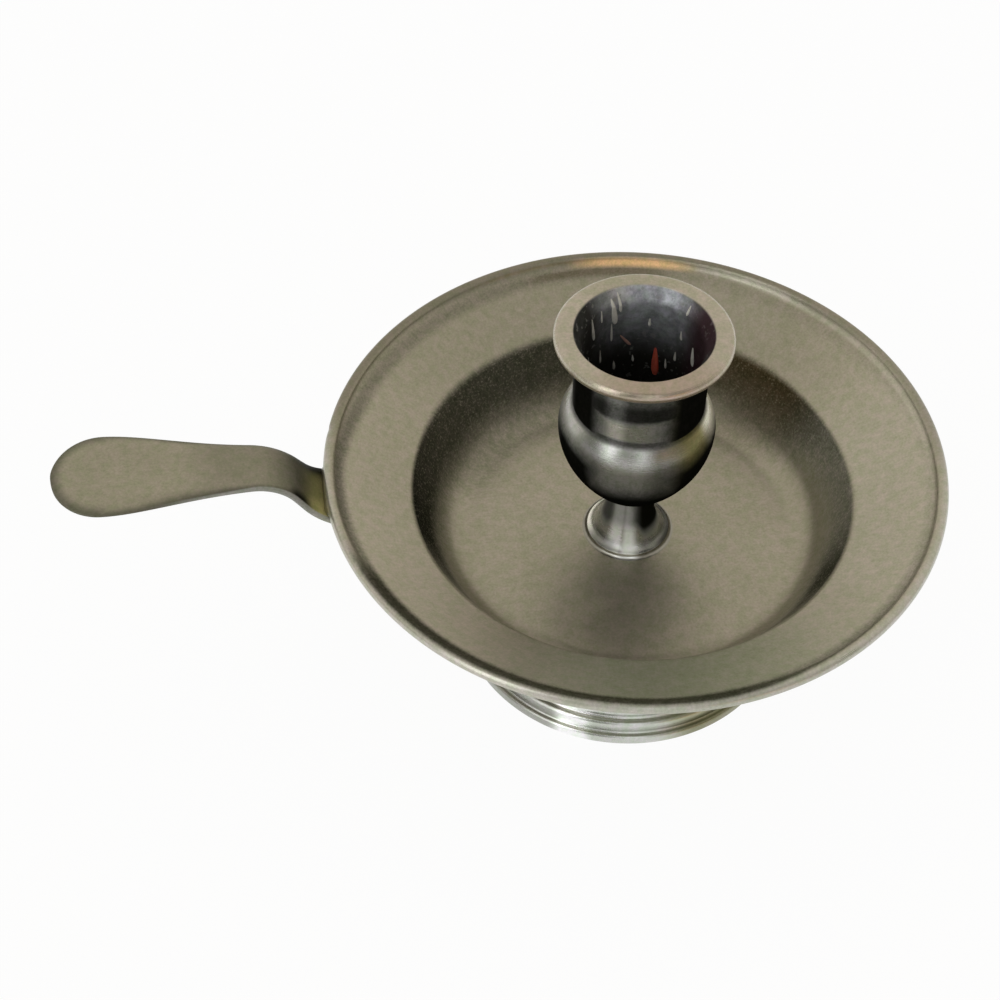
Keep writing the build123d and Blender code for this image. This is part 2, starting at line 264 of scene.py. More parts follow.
waist_top = foot_top - flange_thickness
waist_base = waist_top - waist_height
ring_tops = np.cumsum(ring_heights)
ring_radii = foot_radius - np.append(0, np.cumsum(ring_ledges))
cavetto_radius = ring_radii[3]
cavetto_height = waist_base - ring_tops[2]
waist_radius = cavetto_radius - cavetto_width
flange_radius = waist_radius + flange_ledge
throat_radius = waist_radius - foot_wall
hollow_radius = ring_radii[2] - foot_wall
hollow_radii = np.array([cavetto_width, cavetto_height]) + foot_wall
hollow_turn = np.degrees(np.arccos((cavetto_radius - hollow_radius) / hollow_radii[0]))
foot_outline = np.vstack([
    rounded(
        [
            (hollow_radius, foot_wall),
            (hollow_radius, 0),
            (ring_radii[0], 0),
            (ring_radii[0], ring_tops[0]),
            (ring_radii[1], ring_tops[0]),
            (ring_radii[1], ring_tops[1]),
            (ring_radii[2], ring_tops[1]),
            (ring_radii[2], ring_tops[2]),
            (cavetto_radius, ring_tops[2]),
        ],
        ring_rounds,
    ),
    arc((cavetto_radius, waist_base), (cavetto_width, cavetto_height), 270, -90),
    rounded(
        [
            (waist_radius, waist_base),
            (waist_radius, waist_top),
            (flange_radius, waist_top),
            (flange_radius, foot_top),
            (throat_radius, foot_top),
            (throat_radius, waist_base),
        ],
        [0.3, 0.3, 0.1, 0.2],
    ),
    arc((cavetto_radius, waist_base), hollow_radii, 180, hollow_turn),
])
foot = turned("turned_foot", foot_outline)
bright = Pewter("bright_foot_pewter", line_pitch=0.3)
foot_height = bright.z * 1000
foot_tone = tint(bright.patches, (0.50, 0.515, 0.475), (0.66, 0.675, 0.64))
# Painted light: the upper ring and the cavetto, which lie in the pan's shade, are painted lighter.
painted_light_upper_ring = step(foot_height, ring_tops[1] - 0.5, ring_tops[2] + 2.0)
foot_tone = tint(painted_light_upper_ring * 0.7, foot_tone, (0.80, 0.82, 0.77))
# Painted light on the foot: a painted highlight left of the front, painted shade on the left end, and a
# painted olive reflection and painted shade on the right end.
painted_foot_highlight = 1 - step(abs(bright.flank + 0.345), 0.05, 0.14)
foot_tone = tint(painted_foot_highlight * 0.95, foot_tone, (0.97, 0.98, 0.97))
foot_tone = tint(step(bright.flank * -1, 0.40, 0.50) * 0.8, foot_tone, (0.32, 0.325, 0.29))
foot_olive_reflection = step(bright.flank, 0.12, 0.42) * (0.95 - step(bright.back, -0.6, 0.2) * 0.75)
foot_tone = tint(foot_olive_reflection, foot_tone, (0.36, 0.355, 0.22))
painted_low_right_shade = step(bright.flank, 0.2, 0.4) * (1 - step(foot_height, ring_tops[0], ring_tops[1] + 0.5))
foot_tone = tint(painted_low_right_shade * 0.35, foot_tone, (0.06, 0.058, 0.04))
foot_tone = bright.mottled(foot_tone, 0.3)
foot_dull = 0.20 + bright.patches * 0.12 + bright.lines * 0.05
foot_metal = 0.9 + painted_foot_highlight * 0.1 - step(foot_height, ring_tops[2] - 0.2, ring_tops[2] + 1.6) * 0.5
foot.data.materials.append(bright.finish(foot_tone, foot_dull, foot_metal, depth=0.00004, strength=0.8))
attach(foot, "root")
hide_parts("foot")

# The drip pan: pewter sheet spun to a level floor, a steep well wall and a sloping brim, with its edge
# rolled into a reed. The stem's tenon goes through the hole in its floor.
pan_low, pan_high = 1000 * np.array(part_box("drip_pan"))
pan_radius = pan_high[0]
pan_underside = pan_low[2]
sheet = 1.5
brim_width = 17.1
well_wall_run = 6.9
well_depth = 13.7
floor_fillet = 7.0
well_edge_round = 2.6
reed_radius = 1.15
reed_cove = 2.0
tenon_hole = 4.55
nick_turn = np.radians(165.6)

floor_top = pan_underside + sheet
well_edge = np.array([pan_radius - brim_width, floor_top + well_depth])
floor_corner = np.array([well_edge[0] - well_wall_run, floor_top])
reed_centre = np.array([pan_radius - reed_radius, pan_high[2] - reed_radius])
reed_offset = reed_centre - well_edge
reed_stand = reed_radius - sheet
brim_angle = np.arctan2(reed_offset[1], reed_offset[0]) - np.arcsin(reed_stand / np.hypot(*reed_offset))
brim_slope = np.array([np.cos(brim_angle), np.sin(brim_angle)])
brim_normal = np.array([-brim_slope[1], brim_slope[0]])
cove_reach = reed_radius + reed_cove
cove_rise = reed_cove - reed_stand
cove_turn = np.degrees(np.arcsin(cove_rise / cove_reach))
cove_centre = reed_centre + brim_normal * cove_rise - brim_slope * np.sqrt(cove_reach**2 - cove_rise**2)
wall_slope = (well_edge - floor_corner) / np.linalg.norm(well_edge - floor_corner)
wall_under = well_edge + np.array([wall_slope[1], -wall_slope[0]]) * sheet
brim_under = reed_centre - brim_normal * reed_radius


def crossing(point, direction, other, other_direction):
    """The point where the line through point along direction meets the line through other."""
    travel = np.linalg.solve(np.stack([direction, -other_direction], 1), other - point)
    return point + direction * travel[0]


under_floor = np.array([0, pan_underside])
floor_corner_under = crossing(wall_under, wall_slope, under_floor, np.array([1.0, 0.0]))
well_edge_under = crossing(wall_under, wall_slope, brim_under, brim_slope)
reed_start = np.degrees(brim_angle) - 90
pan_under = rounded(
    [(tenon_hole, pan_underside), floor_corner_under, well_edge_under, brim_under],
    [floor_fillet + sheet, well_edge_round - sheet],
    20,
)
reed = arc(reed_centre, (reed_radius, reed_radius), reed_start, 270 - cove_turn, 40)
cove = arc(cove_centre, (reed_cove, reed_cove), reed_start + 90 - cove_turn, cove_turn - 90, 16)
pan_over = rounded(
    [cove[-1], well_edge, floor_corner, (tenon_hole, floor_top)],
    [well_edge_round, floor_fillet],
    24,
)
pan_outline = np.vstack([pan_under, reed, cove, pan_over])


def run_length(outline):
    """The length along an outline."""
    return np.linalg.norm(np.diff(outline, axis=0), axis=1).sum()


cove_length = run_length(np.vstack([pan_under, reed, cove]))
well_edge_length = cove_length + np.linalg.norm(well_edge - cove[-1])
floor_length = well_edge_length + np.linalg.norm(well_edge - floor_corner)


def pan_wear(angle, length):
    """Hand work and use: the sheet waves by a few hundredths of a millimetre in slow lobes, and one
    small nick, a bell curve about its angle, is pressed into the reed beside the handle."""
    wave = 0.05 * np.sin(2 * angle + 0.6) + 0.03 * np.sin(3 * angle + 2.1) + 0.02 * np.sin(5 * angle)
    away = ((angle - nick_turn) * pan_radius / 0.9) ** 2 + ((length - cove_length + 3.4) / 1.1) ** 2
    nick = -0.3 * np.exp(-away)
    rim_share = np.exp(-(((length - cove_length) / 14) ** 2))
    return wave * rim_share + nick, 0.6 * wave * rim_share + nick


pan = turned("spun_drip_pan", pan_outline, 320, 0.6, pan_wear)
satin = Pewter("satin_pan_pewter")
# Where on the pan: shares of the front, the far side, the right and the left, from the unit circle.
film = step(noise(satin.place, 95.0, 5.0, 0.62), 0.42, 0.72)
cloud = (satin.patches - 0.5) * 2.4
front = step(satin.back * -0.97 - satin.right * 0.26, 0.35, 0.95)
far_side = step(satin.back * 0.98 + satin.right * 0.19, 0.962, 0.999)
right_side = step(satin.right, 0.55, 1.0) * (1 - step(abs(satin.back + 0.1), 0.15, 0.6))
far_right = step(satin.right, 0.2, 0.75) * step(satin.back, 0.15, 0.6)
far_left = step(satin.back * 0.8 - satin.right * 0.6, 0.55, 0.95)
front_left = step(satin.right * -0.5 - satin.back * 0.87, -0.3, 0.6)
at_back = step(satin.back, 0.2, 0.75)
# Darker in the well: the darkening starts at the well's edge, fades towards the floor, and is thin in
# front.
wall_top_end = well_edge_length + 0.7 + at_back * 1.2
wall_top = step(satin.along + at_back * 1.4, well_edge_length - 0.5, wall_top_end)
wall_fall = step(satin.along, well_edge_length, floor_length - 2.0)
faded_along = satin.along + cloud * 1.2 - satin.back * 1.0 + right_side * 2.0 - far_left * 1.5 - far_right
wall_foot = step(faded_along, floor_length - 9.5, floor_length + 0.5)
far_foot = step(faded_along, floor_length - 11.0, floor_length - 2.0) * 0.6
far_foot = far_foot + step(faded_along, floor_length - 3.0, floor_length + 7.0) * 0.4
wall_foot = wall_foot + (far_foot - wall_foot) * at_back
wall_hold = 0.98 - right_side * (0.30 + wall_fall * 0.4) - front * 0.6
wall_hold = wall_hold - far_right * wall_fall * 0.3 - far_left * 0.1
scuffs = step(satin.grain, 0.52, 0.78)
wall_darkening = wall_top * (1 - wall_foot) * wall_hold * (1 - scuffs * 0.3)
brim_share = 1 - step(satin.along, well_edge_length - 1.5, well_edge_length + 0.5)
# The rim: painted shade in the groove inside the reed and on its top at the back and the right, a worn
# reed with a painted highlight in front, a painted highlight in the cove at the right, and a painted warm
# reflection at the back above painted shade.
cove_run = satin.along - cove_length
rear = step(satin.back, 0.05, 0.45)
rear_left = step(satin.back * 0.75 - satin.right * 0.66, 0.25, 0.8)
groove_run = cove_run + 0.4 - rear * 1.3 - at_back * 0.3
groove_share = 0.10 + front_left * 0.35 + rear_left * 0.22
cove_shade = (1 - step(abs(groove_run), 0.2, 2.2 + rear * 0.6)) * groove_share
thinned = step(satin.right, 0.05, 0.65)
front_groove = step(cove_run - thinned * 1.3, -3.7, -2.7) * (1 - step(cove_run + thinned * 1.5, 0.0, 1.7))
front_groove = front_groove * step(front, 0.0, 0.5) * (0.92 - thinned * 0.4)
cove_shade = front.math("MAXIMUM", cove_shade, front_groove)
# Wear and a painted highlight: the reed in front is brighter and smoother.
reed_wear_and_highlight = step(cove_run, -7.0, -5.5) * (1 - step(cove_run, -3.4, -2.2)) * (1 - rear * 0.9)
# Painted shade on the top of the reed at the back and the right.
reed_top = step(cove_run, -5.2, -4.2) * (1 - step(cove_run, -2.5, -1.3))
reed_painted_shade = reed_top * rear
reed_painted_shade = reed_painted_shade * (0.45 + step(satin.back * 0.8 - satin.right * 0.6, -0.2, 0.4) * 0.3)
right_reed = reed_top * step(satin.right, 0.5, 0.8)
reed_painted_shade = reed_painted_shade.math("MAXIMUM", reed_painted_shade, right_reed * step(satin.back, -0.35, 0.0) * 0.5)
# Painted highlight in the cove at the right.
cove_painted_highlight = step(cove_run, -2.0, -1.3) * (1 - step(cove_run, -0.3, 0.5)) * step(satin.right, 0.3, 0.8)
cove_painted_highlight = cove_painted_highlight * step(satin.back, -0.3, 0.1)
# A painted warm reflection on the reed at the back, made less metallic, and painted shade in a band below
# it.
warm_painted_reflection = step(cove_run, -2.3, -1.0) * (1 - step(cove_run, -0.6, 0.8)) * far_side
shade_below_reflection = step(cove_run, 0.1, 0.9) * (1 - step(cove_run, 1.5, 2.8))
shade_below_reflection = shade_below_reflection * step(satin.back + satin.right * 0.05, 0.95, 0.99)
# The tones, from bare pewter to the darkening over it, with painted shade on the brim's front and back
# and painted light at its right and front left.
pan_tone = tint(satin.patches, (0.355, 0.335, 0.262), (0.46, 0.43, 0.345))
pan_tone = tint(film * 0.35, pan_tone, (0.42, 0.405, 0.30))
front_brim_shade = step(satin.back * -0.99 - satin.right * 0.05, 0.74, 1.0) * brim_share
pan_tone = tint(front_brim_shade * 0.75, pan_tone, (0.345, 0.365, 0.265))
back_brim_shade = step(satin.back, 0.3, 0.8) * brim_share
pan_tone = tint(back_brim_shade * 0.3, pan_tone, (0.25, 0.235, 0.175))
side_brim_painted_light = step(satin.right * 0.9 - satin.back * 0.43, 0.6, 0.95) * brim_share
pan_tone = tint(side_brim_painted_light * 0.3, pan_tone, (0.60, 0.575, 0.49))
pan_tone = tint(reed_wear_and_highlight * 0.7, pan_tone, (0.54, 0.54, 0.49))
low_left_brim_painted_light = step(satin.right * -0.8 - satin.back * 0.6, 0.7, 0.97) * brim_share
pan_tone = tint(low_left_brim_painted_light * 0.25, pan_tone, (0.62, 0.57, 0.48))
pan_tone = tint(reed_painted_shade, pan_tone, (0.20, 0.185, 0.14))
pan_tone = tint(cove_painted_highlight * 0.3, pan_tone, (0.78, 0.75, 0.64))
pan_tone = tint(shade_below_reflection * 0.5, pan_tone, (0.16, 0.12, 0.07))
pan_tone = tint(warm_painted_reflection, pan_tone, (1.0, 0.66, 0.34))
wall_dark_tone = tint(far_right, (0.024, 0.025, 0.014), (0.075, 0.055, 0.026))
wall_dark_tone = tint(right_side, wall_dark_tone, (0.085, 0.087, 0.068))
left_wall = step(satin.right * -1, 0.8, 0.98) * (1 - wall_fall)
wall_dark_tone = tint(left_wall * 0.8, wall_dark_tone, (0.006, 0.006, 0.004))
pan_tone = tint(wall_darkening, pan_tone, wall_dark_tone)
pan_tone = tint(cove_shade, pan_tone, (0.028, 0.028, 0.017))
darkened_share = film.math("MAXIMUM", wall_darkening, cove_shade)
pan_tone = satin.mottled(pan_tone, 0.5 + darkened_share * 1.1)
pan_dull = 0.30 + satin.patches * 0.10 + film * 0.06 + satin.lines * 0.05 + darkened_share * 0.12 - reed_wear_and_highlight * 0.08
pan_metal = 0.85 - darkened_share * 0.85 - front_brim_shade * 0.3 - warm_painted_reflection * 0.65
pan.data.materials.append(satin.finish(pan_tone, pan_dull, pan_metal, depth=0.00003, strength=0.7))
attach(pan, "root")
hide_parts("drip_pan")

# The stem: a solid trumpet of pewter, turned with a tenon below and a spigot above, and polished.
# The tenon is soldered through the pan's floor and the spigot into the bulb of the socket.
stem_low, stem_high = 1000 * np.array(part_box("socket_stem"))
stem_base = stem_high[0]
tenon_radius = 4.5
spigot_radius = 3.2
spigot_length = 4.0
stem_neck = 4.6
stem_edge = 0.9
socket_seat = stem_high[2] - spigot_length
trumpet_low = floor_top + stem_edge
trumpet_top = socket_seat - stem_edge
stem_outline = np.vstack([
    [(0, stem_low[2]), (tenon_radius, stem_low[2]), (tenon_radius, floor_top), (stem_base, floor_top)],
    arc((stem_base, trumpet_top), (stem_base - stem_neck, trumpet_top - trumpet_low), 270, -90, 40),
    [(stem_neck, socket_seat), (spigot_radius, socket_seat)],
    [(spigot_radius, stem_high[2]), (0, stem_high[2])],
])
stem = turned("trumpet_stem", stem_outline, 160, 0.3)
polished = Pewter("polished_stem_pewter", line_pitch=0.16, patch_size=0.006)
stem_tone = tint(polished.patches, (0.46, 0.465, 0.44), (0.58, 0.585, 0.56))
# Painted shade under the bulb, which reaches lowest at the right, and two painted highlights in front.
stem_height = polished.z * 1000
stem_right = 0.4 + step(polished.flank, -0.2, 0.5) * 0.6
stem_left = step(polished.flank * -1, 0.5, 0.85) * 0.82
stem_shade = stem_right.math("MAXIMUM", stem_right, stem_left)
shade_line = stem_height + step(polished.flank, 0.2, 0.55) * 2.2
shade_line = shade_line + step(polished.flank * -1, 0.68, 0.9) * 1.4
stem_shade = stem_shade * step(shade_line, floor_top + 4.2, floor_top + 7.4)
stem_shade = stem_shade * (1 - step(polished.back, -0.15, 0.5) * 0.5)
# Painted highlights: two bright streaks in front, made less metallic.
front_highlights = 1 - step(abs(polished.flank + 0.05), 0.06, 0.38)
left_highlight = (1 - step(abs(polished.flank + 0.48), 0.1, 0.34)) * 0.85
front_highlights = front_highlights.math("MAXIMUM", front_highlights, left_highlight) * step(polished.back * -1, 0.3, 0.8)
stem_tone = tint(front_highlights * 0.95, stem_tone, (0.99, 1.0, 0.98))
# Painted shade at the sides of the base and on its right rim, and painted light on its back left.
base_low = 1 - step(stem_height, floor_top + 1.6, floor_top + 3.0)
base_side_shade = step(abs(polished.flank + 0.05), 0.22, 0.5) * step(polished.back * -1, -0.1, 0.4) * base_low
stem_tone = tint(base_side_shade * 0.6, stem_tone, (0.06, 0.06, 0.05))
base_back_painted_light = step(polished.flank * -1, 0.55, 0.85) * step(polished.back, -0.2, 0.3) * base_low
stem_tone = tint(base_back_painted_light, stem_tone, (0.95, 0.95, 0.90))
base_rim_shade = step(polished.flank, 0.55, 0.85) * (1 - step(stem_height, floor_top + 0.9, floor_top + 1.4))
stem_tone = tint(base_rim_shade * 0.85, stem_tone, (0.02, 0.02, 0.015))
stem_tone = tint(stem_shade ** 0.7, stem_tone, (0.006, 0.006, 0.004))
stem_tone = polished.mottled(stem_tone, 0.25)
stem_dull = 0.18 + polished.patches * 0.12 + polished.lines * 0.05 + stem_shade * 0.15
stem_metal = 0.9 - stem_shade * 0.9 - front_highlights * (1 - stem_shade) * 0.75
stem.data.materials.append(polished.finish(stem_tone, stem_dull, stem_metal, depth=0.00005, strength=1.0))
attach(stem, "root")
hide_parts("socket_stem")

# The candle socket: bulb, neck and lip turned from one pewter casting and bored for a taper candle.
# The outside is polished, the lip is worn satin, and the bore is dark with soot and old wax.
socket_high = 1000 * np.array(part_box("candle_socket"))[1]
lip_radius = socket_high[0]
lip_top = socket_high[2]
bore_radius = frame["record"]["mounts"][0]["dims"]["r_mm"]
lip_thickness = 2.6
neck_radius = 12.6
neck_flare = 0.15
neck_fillet = 0.9
bulb_radius = 15.15
bulb_belly = socket_seat + 17.9
shoulder_height = 6.4
bulb_seat = stem_neck + stem_edge
swell_shares = np.array([(0, 0), (0.43, 0.22), (1.0, 0.58), (1, 1)])
mouth_flare = 1.75
mouth_depth = 3.2
mouth_edge = 0.4
mouth_blend = 3.0
bore_floor = bulb_belly - 5.95
bore_corner = 1.5
spigot_hole = 3.25
spigot_hole_top = stem_high[2] + 0.05


def bezier(points, steps=48):
    """A cubic curve: the sum of four points times their Bernstein weights."""
    t = np.linspace(0, 1, steps)[:, None]
    weights = ((1 - t) ** 3, 3 * t * (1 - t) ** 2, 3 * t**2 * (1 - t), t**3)
    return sum(weight * point for weight, point in zip(weights, points))


swell_size = np.array([bulb_radius - bulb_seat, bulb_belly - socket_seat])
swell = np.array([bulb_seat, socket_seat]) + swell_shares * swell_size
bulb_inset = bulb_radius - neck_radius
shoulder_radius = (bulb_inset**2 + shoulder_height**2) / (2 * bulb_inset)
shoulder_turn = np.degrees(np.arcsin(shoulder_height / shoulder_radius))
lip_edge = lip_thickness / 2
lip_under = lip_top - lip_thickness
socket_outside = np.vstack([
    [(0, spigot_hole_top), (spigot_hole, spigot_hole_top), (spigot_hole, socket_seat)],
    bezier(swell),
    arc((bulb_radius - shoulder_radius, bulb_belly), (shoulder_radius,) * 2, 0, shoulder_turn),
    rounded(
        [
            (neck_radius, bulb_belly + shoulder_height),
            (neck_radius + neck_flare, lip_under),
            (lip_radius - lip_edge, lip_under),
        ],
        [neck_fillet],
    ),
    arc((lip_radius - lip_edge, lip_top - lip_edge), (lip_edge, lip_edge), -90, 180, 24),
])
socket_inside = rounded(
    [
        (lip_radius - lip_edge, lip_top),
        (bore_radius + mouth_flare, lip_top),
        (bore_radius, lip_top - mouth_depth),
        (bore_radius, bore_floor),
        (0, bore_floor),
    ],
    [mouth_edge, mouth_blend, bore_corner],
)
lip_length = run_length(socket_outside)
mouth_length = lip_length + lip_radius - lip_edge - bore_radius - mouth_flare
socket = turned("candle_socket_turned", np.vstack([socket_outside, socket_inside]), 240, 0.35)
cup = Pewter("socket_pewter", line_pitch=0.18, patch_size=0.010)
cloud_cup = (cup.patches - 0.5) * 3.0
cup_height = cup.z * 1000
lip_start = step(cup.along, lip_length - 4.2, lip_length - 2.4)
lip_worn = lip_start * (1 - step(cup.along, mouth_length, mouth_length + 0.5))
inside = step(cup.along, mouth_length - 0.1, mouth_length + 0.5)
deep = step(cup.along, mouth_length + 3.0, mouth_length + 18.0)
soot = step(noise(cup.place, 420.0, 5.0, 0.65), 0.3, 0.7)
# Painted shade on the bulb: dark below the belly and on both flanks, with a painted olive reflection at
# the right.
olive_reflection_side = step(cup.flank, 0.3, 0.65)
bulb_left = step(cup.flank * -1, 0.4, 0.72)
bulb_right = step(cup.flank, 0.05, 0.58)
bulb_sides = bulb_left.math("MAXIMUM", bulb_left, bulb_right)
low_shade = 1 - step(cup_height + cloud_cup, bulb_belly - 9.0, bulb_belly + 3.6)
side_line = cup_height + cloud_cup * 0.7 - step(abs(cup.flank), 0.6, 0.95) * 2.0
side_shade = (1 - step(side_line, bulb_belly - 1.0, bulb_belly + 3.2)) * bulb_sides
bulb_shade = low_shade.math("MAXIMUM", low_shade, side_shade)
flank_shade_left = step(cup.flank * -1, 0.4, 0.6) * (0.55 - step(cup.flank * -1, 0.72, 0.88) * 0.55)
flank_shade_right = step(cup.flank, -0.05, 0.25) * (0.55 - step(cup.flank, 0.78, 0.95) * 0.55)
# Painted shade on the neck: dark flanks, a dark band below the lip and a dark crease at its foot, with
# one painted glint at the left.
neck_foot = bulb_belly + shoulder_height
on_neck = step(cup_height, neck_foot - 0.4, neck_foot + 0.2)
glint = 1 - step(abs(cup.flank + 0.41), 0.03, 0.2)
neck_left = step(cup.flank * -1, 0.45, 0.78)
neck_right = step(cup.flank, -0.1, 0.55)
neck_sides = neck_left.math("MAXIMUM", neck_left, neck_right)
neck_band = step(cup_height + cloud_cup * 0.5, bulb_belly + 11.0, bulb_belly + 13.2)
under_lip = step(cup_height, bulb_belly + 15.4, bulb_belly + 17.8)
neck_band = neck_band * (0.96 - under_lip * 0.2 - glint * 0.12)
neck_shade = neck_sides.math("MAXIMUM", neck_sides, neck_band) * on_neck * (1 - lip_worn)
crease = 1 - step(abs(cup_height - neck_foot - 0.4), 0.3, 1.2)
cup_shade = neck_shade.math("MAXIMUM", neck_shade.math("MAXIMUM", neck_shade, bulb_shade), crease * 0.8)
cup_shade = cup_shade * (1 - inside) * (1 - step(cup.back, -0.15, 0.5) * 0.5)
cup_tone = tint(cup.patches, (0.42, 0.425, 0.40), (0.53, 0.535, 0.505))
cup_tone = tint(glint * on_neck, cup_tone, (0.95, 0.96, 0.94))
# Painted light on the bulb's right edge, and a painted olive reflection on its right below the belly.
right_edge_light = step(cup.flank, 0.8, 0.95)
cup_tone = tint(right_edge_light * (1 - on_neck), cup_tone, (0.70, 0.68, 0.58))
olive_reflection_share = olive_reflection_side * step(cup_height, bulb_belly - 6.0, bulb_belly - 2.0) * (1 - right_edge_light) * 0.9
cup_tone = tint(olive_reflection_share, cup_tone, (0.40, 0.36, 0.13))
cup_flank_shade = flank_shade_left.math("MAXIMUM", flank_shade_left, flank_shade_right) * (1 - on_neck)
cup_tone = tint(cup_flank_shade, cup_tone, (0.03, 0.03, 0.02))
cup_tone = tint(cup_shade ** 0.7, cup_tone, (0.005, 0.005, 0.004))
lip_tone = tint(cup.patches, (0.42, 0.385, 0.31), (0.56, 0.52, 0.43))
# A painted warm reflection on the front of the lip, and painted shade at its back.
lip_tone = tint(step(cup.back * -1, 0.5, 1.0) * 0.7, lip_tone, (0.42, 0.33, 0.265))
lip_tone = tint(step(cup.back, 0.6, 1.0) * 0.3, lip_tone, (0.32, 0.31, 0.22))
cup_tone = tint(lip_worn, cup_tone, lip_tone)
# The bore: a painted bluish reflection at the back, soot, darker further down, pale flecks and a dark red
# cast at the right.
bluish_reflection = step(cup.back * 0.97 + cup.right * 0.26, 0.45, 0.95)
bore_tone = tint(bluish_reflection, (0.035, 0.035, 0.030), (0.50, 0.52, 0.56))
bore_tone = tint(soot * 0.55, bore_tone, (0.07, 0.07, 0.07))
bore_tone = tint(deep, bore_tone, (0.030, 0.029, 0.024))
flecks = step(noise(cup.place, 800.0, 2.0, 0.5), 0.60, 0.68)
bore_tone = tint(flecks * 0.55, bore_tone, (0.26, 0.26, 0.25))
bore_tone = tint(step(cup.right, 0.75, 0.98) * 0.6, bore_tone, (0.06, 0.022, 0.034))
cup_tone = tint(inside, cup_tone, bore_tone)
cup_tone = cup.mottled(cup_tone, 0.5 + cup_shade * 1.1)
lip_face = lip_worn * step(cup.along, lip_length - 0.8, lip_length + 0.2)
cup_dull = 0.19 + cup.patches * 0.12 + lip_face * 0.14 + inside * 0.12
cup_dull = cup_dull + cup.lines * 0.04 + cup_shade * 0.15
cup_metal = 0.82 - inside * 0.4 - cup_shade * 0.82
socket.data.materials.append(cup.finish(cup_tone, cup_dull, cup_metal, depth=0.00005, strength=1.0))
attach(socket, "root")
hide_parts("candle_socket")

# The wax: runs and specks of old candles that set on the wall of the bore, most of them pale and one red.
# Each is a flat drop, thin where the run starts and swollen at its foot, and clings to the wall.
mouth_low = lip_top - mouth_depth
pale_runs = [
    (136, 131, 79.4, 73.4, 0.60, 0.35),
    (109, 105, 80.8, 74.8, 0.95, 0.30),
    (102, 100, 81.6, 77.6, 0.50, 0.25),
    (109, 108, 75.2, 70.6, 0.38, 0.25),
    (122, 121, 79.6, 76.6, 0.34, 0.25),
    (71, 71, 75.6, 73.6, 0.45, 0.25),
    (38, 37, 75.0, 72.8, 0.40, 0.25),
    (42, 42, 69.2, 66.8, 0.42, 0.25),
    (34, 34, 81.3, 79.4, 0.40, 0.25),
    (20, 18, 73.4, 68.9, 0.80, 0.35),
    (104, 103, 65.2, 62.8, 0.45, 0.25),
    (139, 137, 70.2, 66.4, 0.36, 0.25),
    (121, 120, 69.6, 66.0, 0.34, 0.25),
    (52, 51, 66.4, 63.8, 0.34, 0.25),
    (85, 84, 66.0, 64.2, 0.34, 0.25),
]
pink_runs = [
    (99, 88, 71.6, 68.6, 0.60, 0.30),
]
red_runs = [
    (63, 61.5, 68.4, 61.2, 1.15, 0.45),
]


def wax_drops(name, runs, rows=25, columns=16):
    """Drops on the wall of the bore: each run goes from a first to a last angle and height as t goes
    from 0 to 1. Its half width is (0.45 + 0.55 t**2) * sqrt(1 - (2t - 1)**2) of the given one. Its
    section is an ellipse that stands out from the wall by the given thickness and sinks into it by a
    quarter of that."""
    t = (1 - np.cos(np.linspace(0, np.pi, rows)))[None, :, None] / 2
    turn = np.linspace(0, 2 * np.pi, columns, endpoint=False)[None, None, :]
    first, last, high, low, half, thick = (np.array(runs)[:, k, None, None] for k in range(6))
    swell = (0.45 + 0.55 * t**2) * np.sqrt(1 - (2 * t - 1) ** 2)
    height = high + (low - high) * t
    wall = bore_radius + mouth_flare * np.clip((height - mouth_low) / mouth_depth, 0, 1)
    rise = np.sin(turn)
    radius = wall - thick * swell * np.where(rise > 0, rise, rise / 4)
    angle = np.radians(first + (last - first) * t) + half * swell * np.cos(turn) / wall
    points = np.stack(np.broadcast_arrays(radius * np.cos(angle), radius * np.sin(angle), height), -1)
    row, column = np.arange(rows - 1)[:, None], np.arange(columns)[None, :]
    beside = (column + 1) % columns
    corners = [row * columns + column, (row + 1) * columns + column]
    corners += [(row + 1) * columns + beside, row * columns + beside]
    corners = [np.broadcast_to(corner, (rows - 1, columns)) for corner in corners]
    faces = np.stack(corners, -1).reshape(-1, 4)
    faces = faces[None] + (np.arange(len(runs)) * rows * columns)[:, None, None]
    mesh = bpy.data.meshes.new(name)
    mesh.from_pydata((points.reshape(-1, 3) * 0.001).tolist(), [], faces.reshape(-1, 4).tolist())
    welded = bmesh.new()
    welded.from_mesh(mesh)
    bmesh.ops.remove_doubles(welded, verts=welded.verts, dist=1e-7)
    bmesh.ops.recalc_face_normals(welded, faces=welded.faces)
    welded.to_mesh(mesh)
    welded.free()
    mesh.shade_smooth()
    drops = bpy.data.objects.new(name, mesh)
    bpy.context.scene.collection.objects.link(drops)
    return drops


def wax_finish(name, thin, thick):
    """Old wax: a dull, slightly uneven colour between two tones, with soft pits."""
    material = bpy.data.materials.new(name)
    material.use_nodes = True
    material.node_tree.nodes.clear()
    wax = Shade(material.node_tree)
    place = wax.node("ShaderNodeTexCoord", output=3)
    blotch = noise(place, 900.0, 3.0, 0.6)
    normal = wax.node("ShaderNodeBump", None, {"Strength": 0.4, "Distance": 0.0001, "Height": blotch})
    sockets = {"Base Color": tint(blotch, thin, thick), "Normal": normal}
    body = wax.node("ShaderNodeBsdfPrincipled", None, {**sockets, "Roughness": 0.34 + blotch * 0.2})
    wax.node("ShaderNodeOutputMaterial", None, {"Surface": body})
    return material


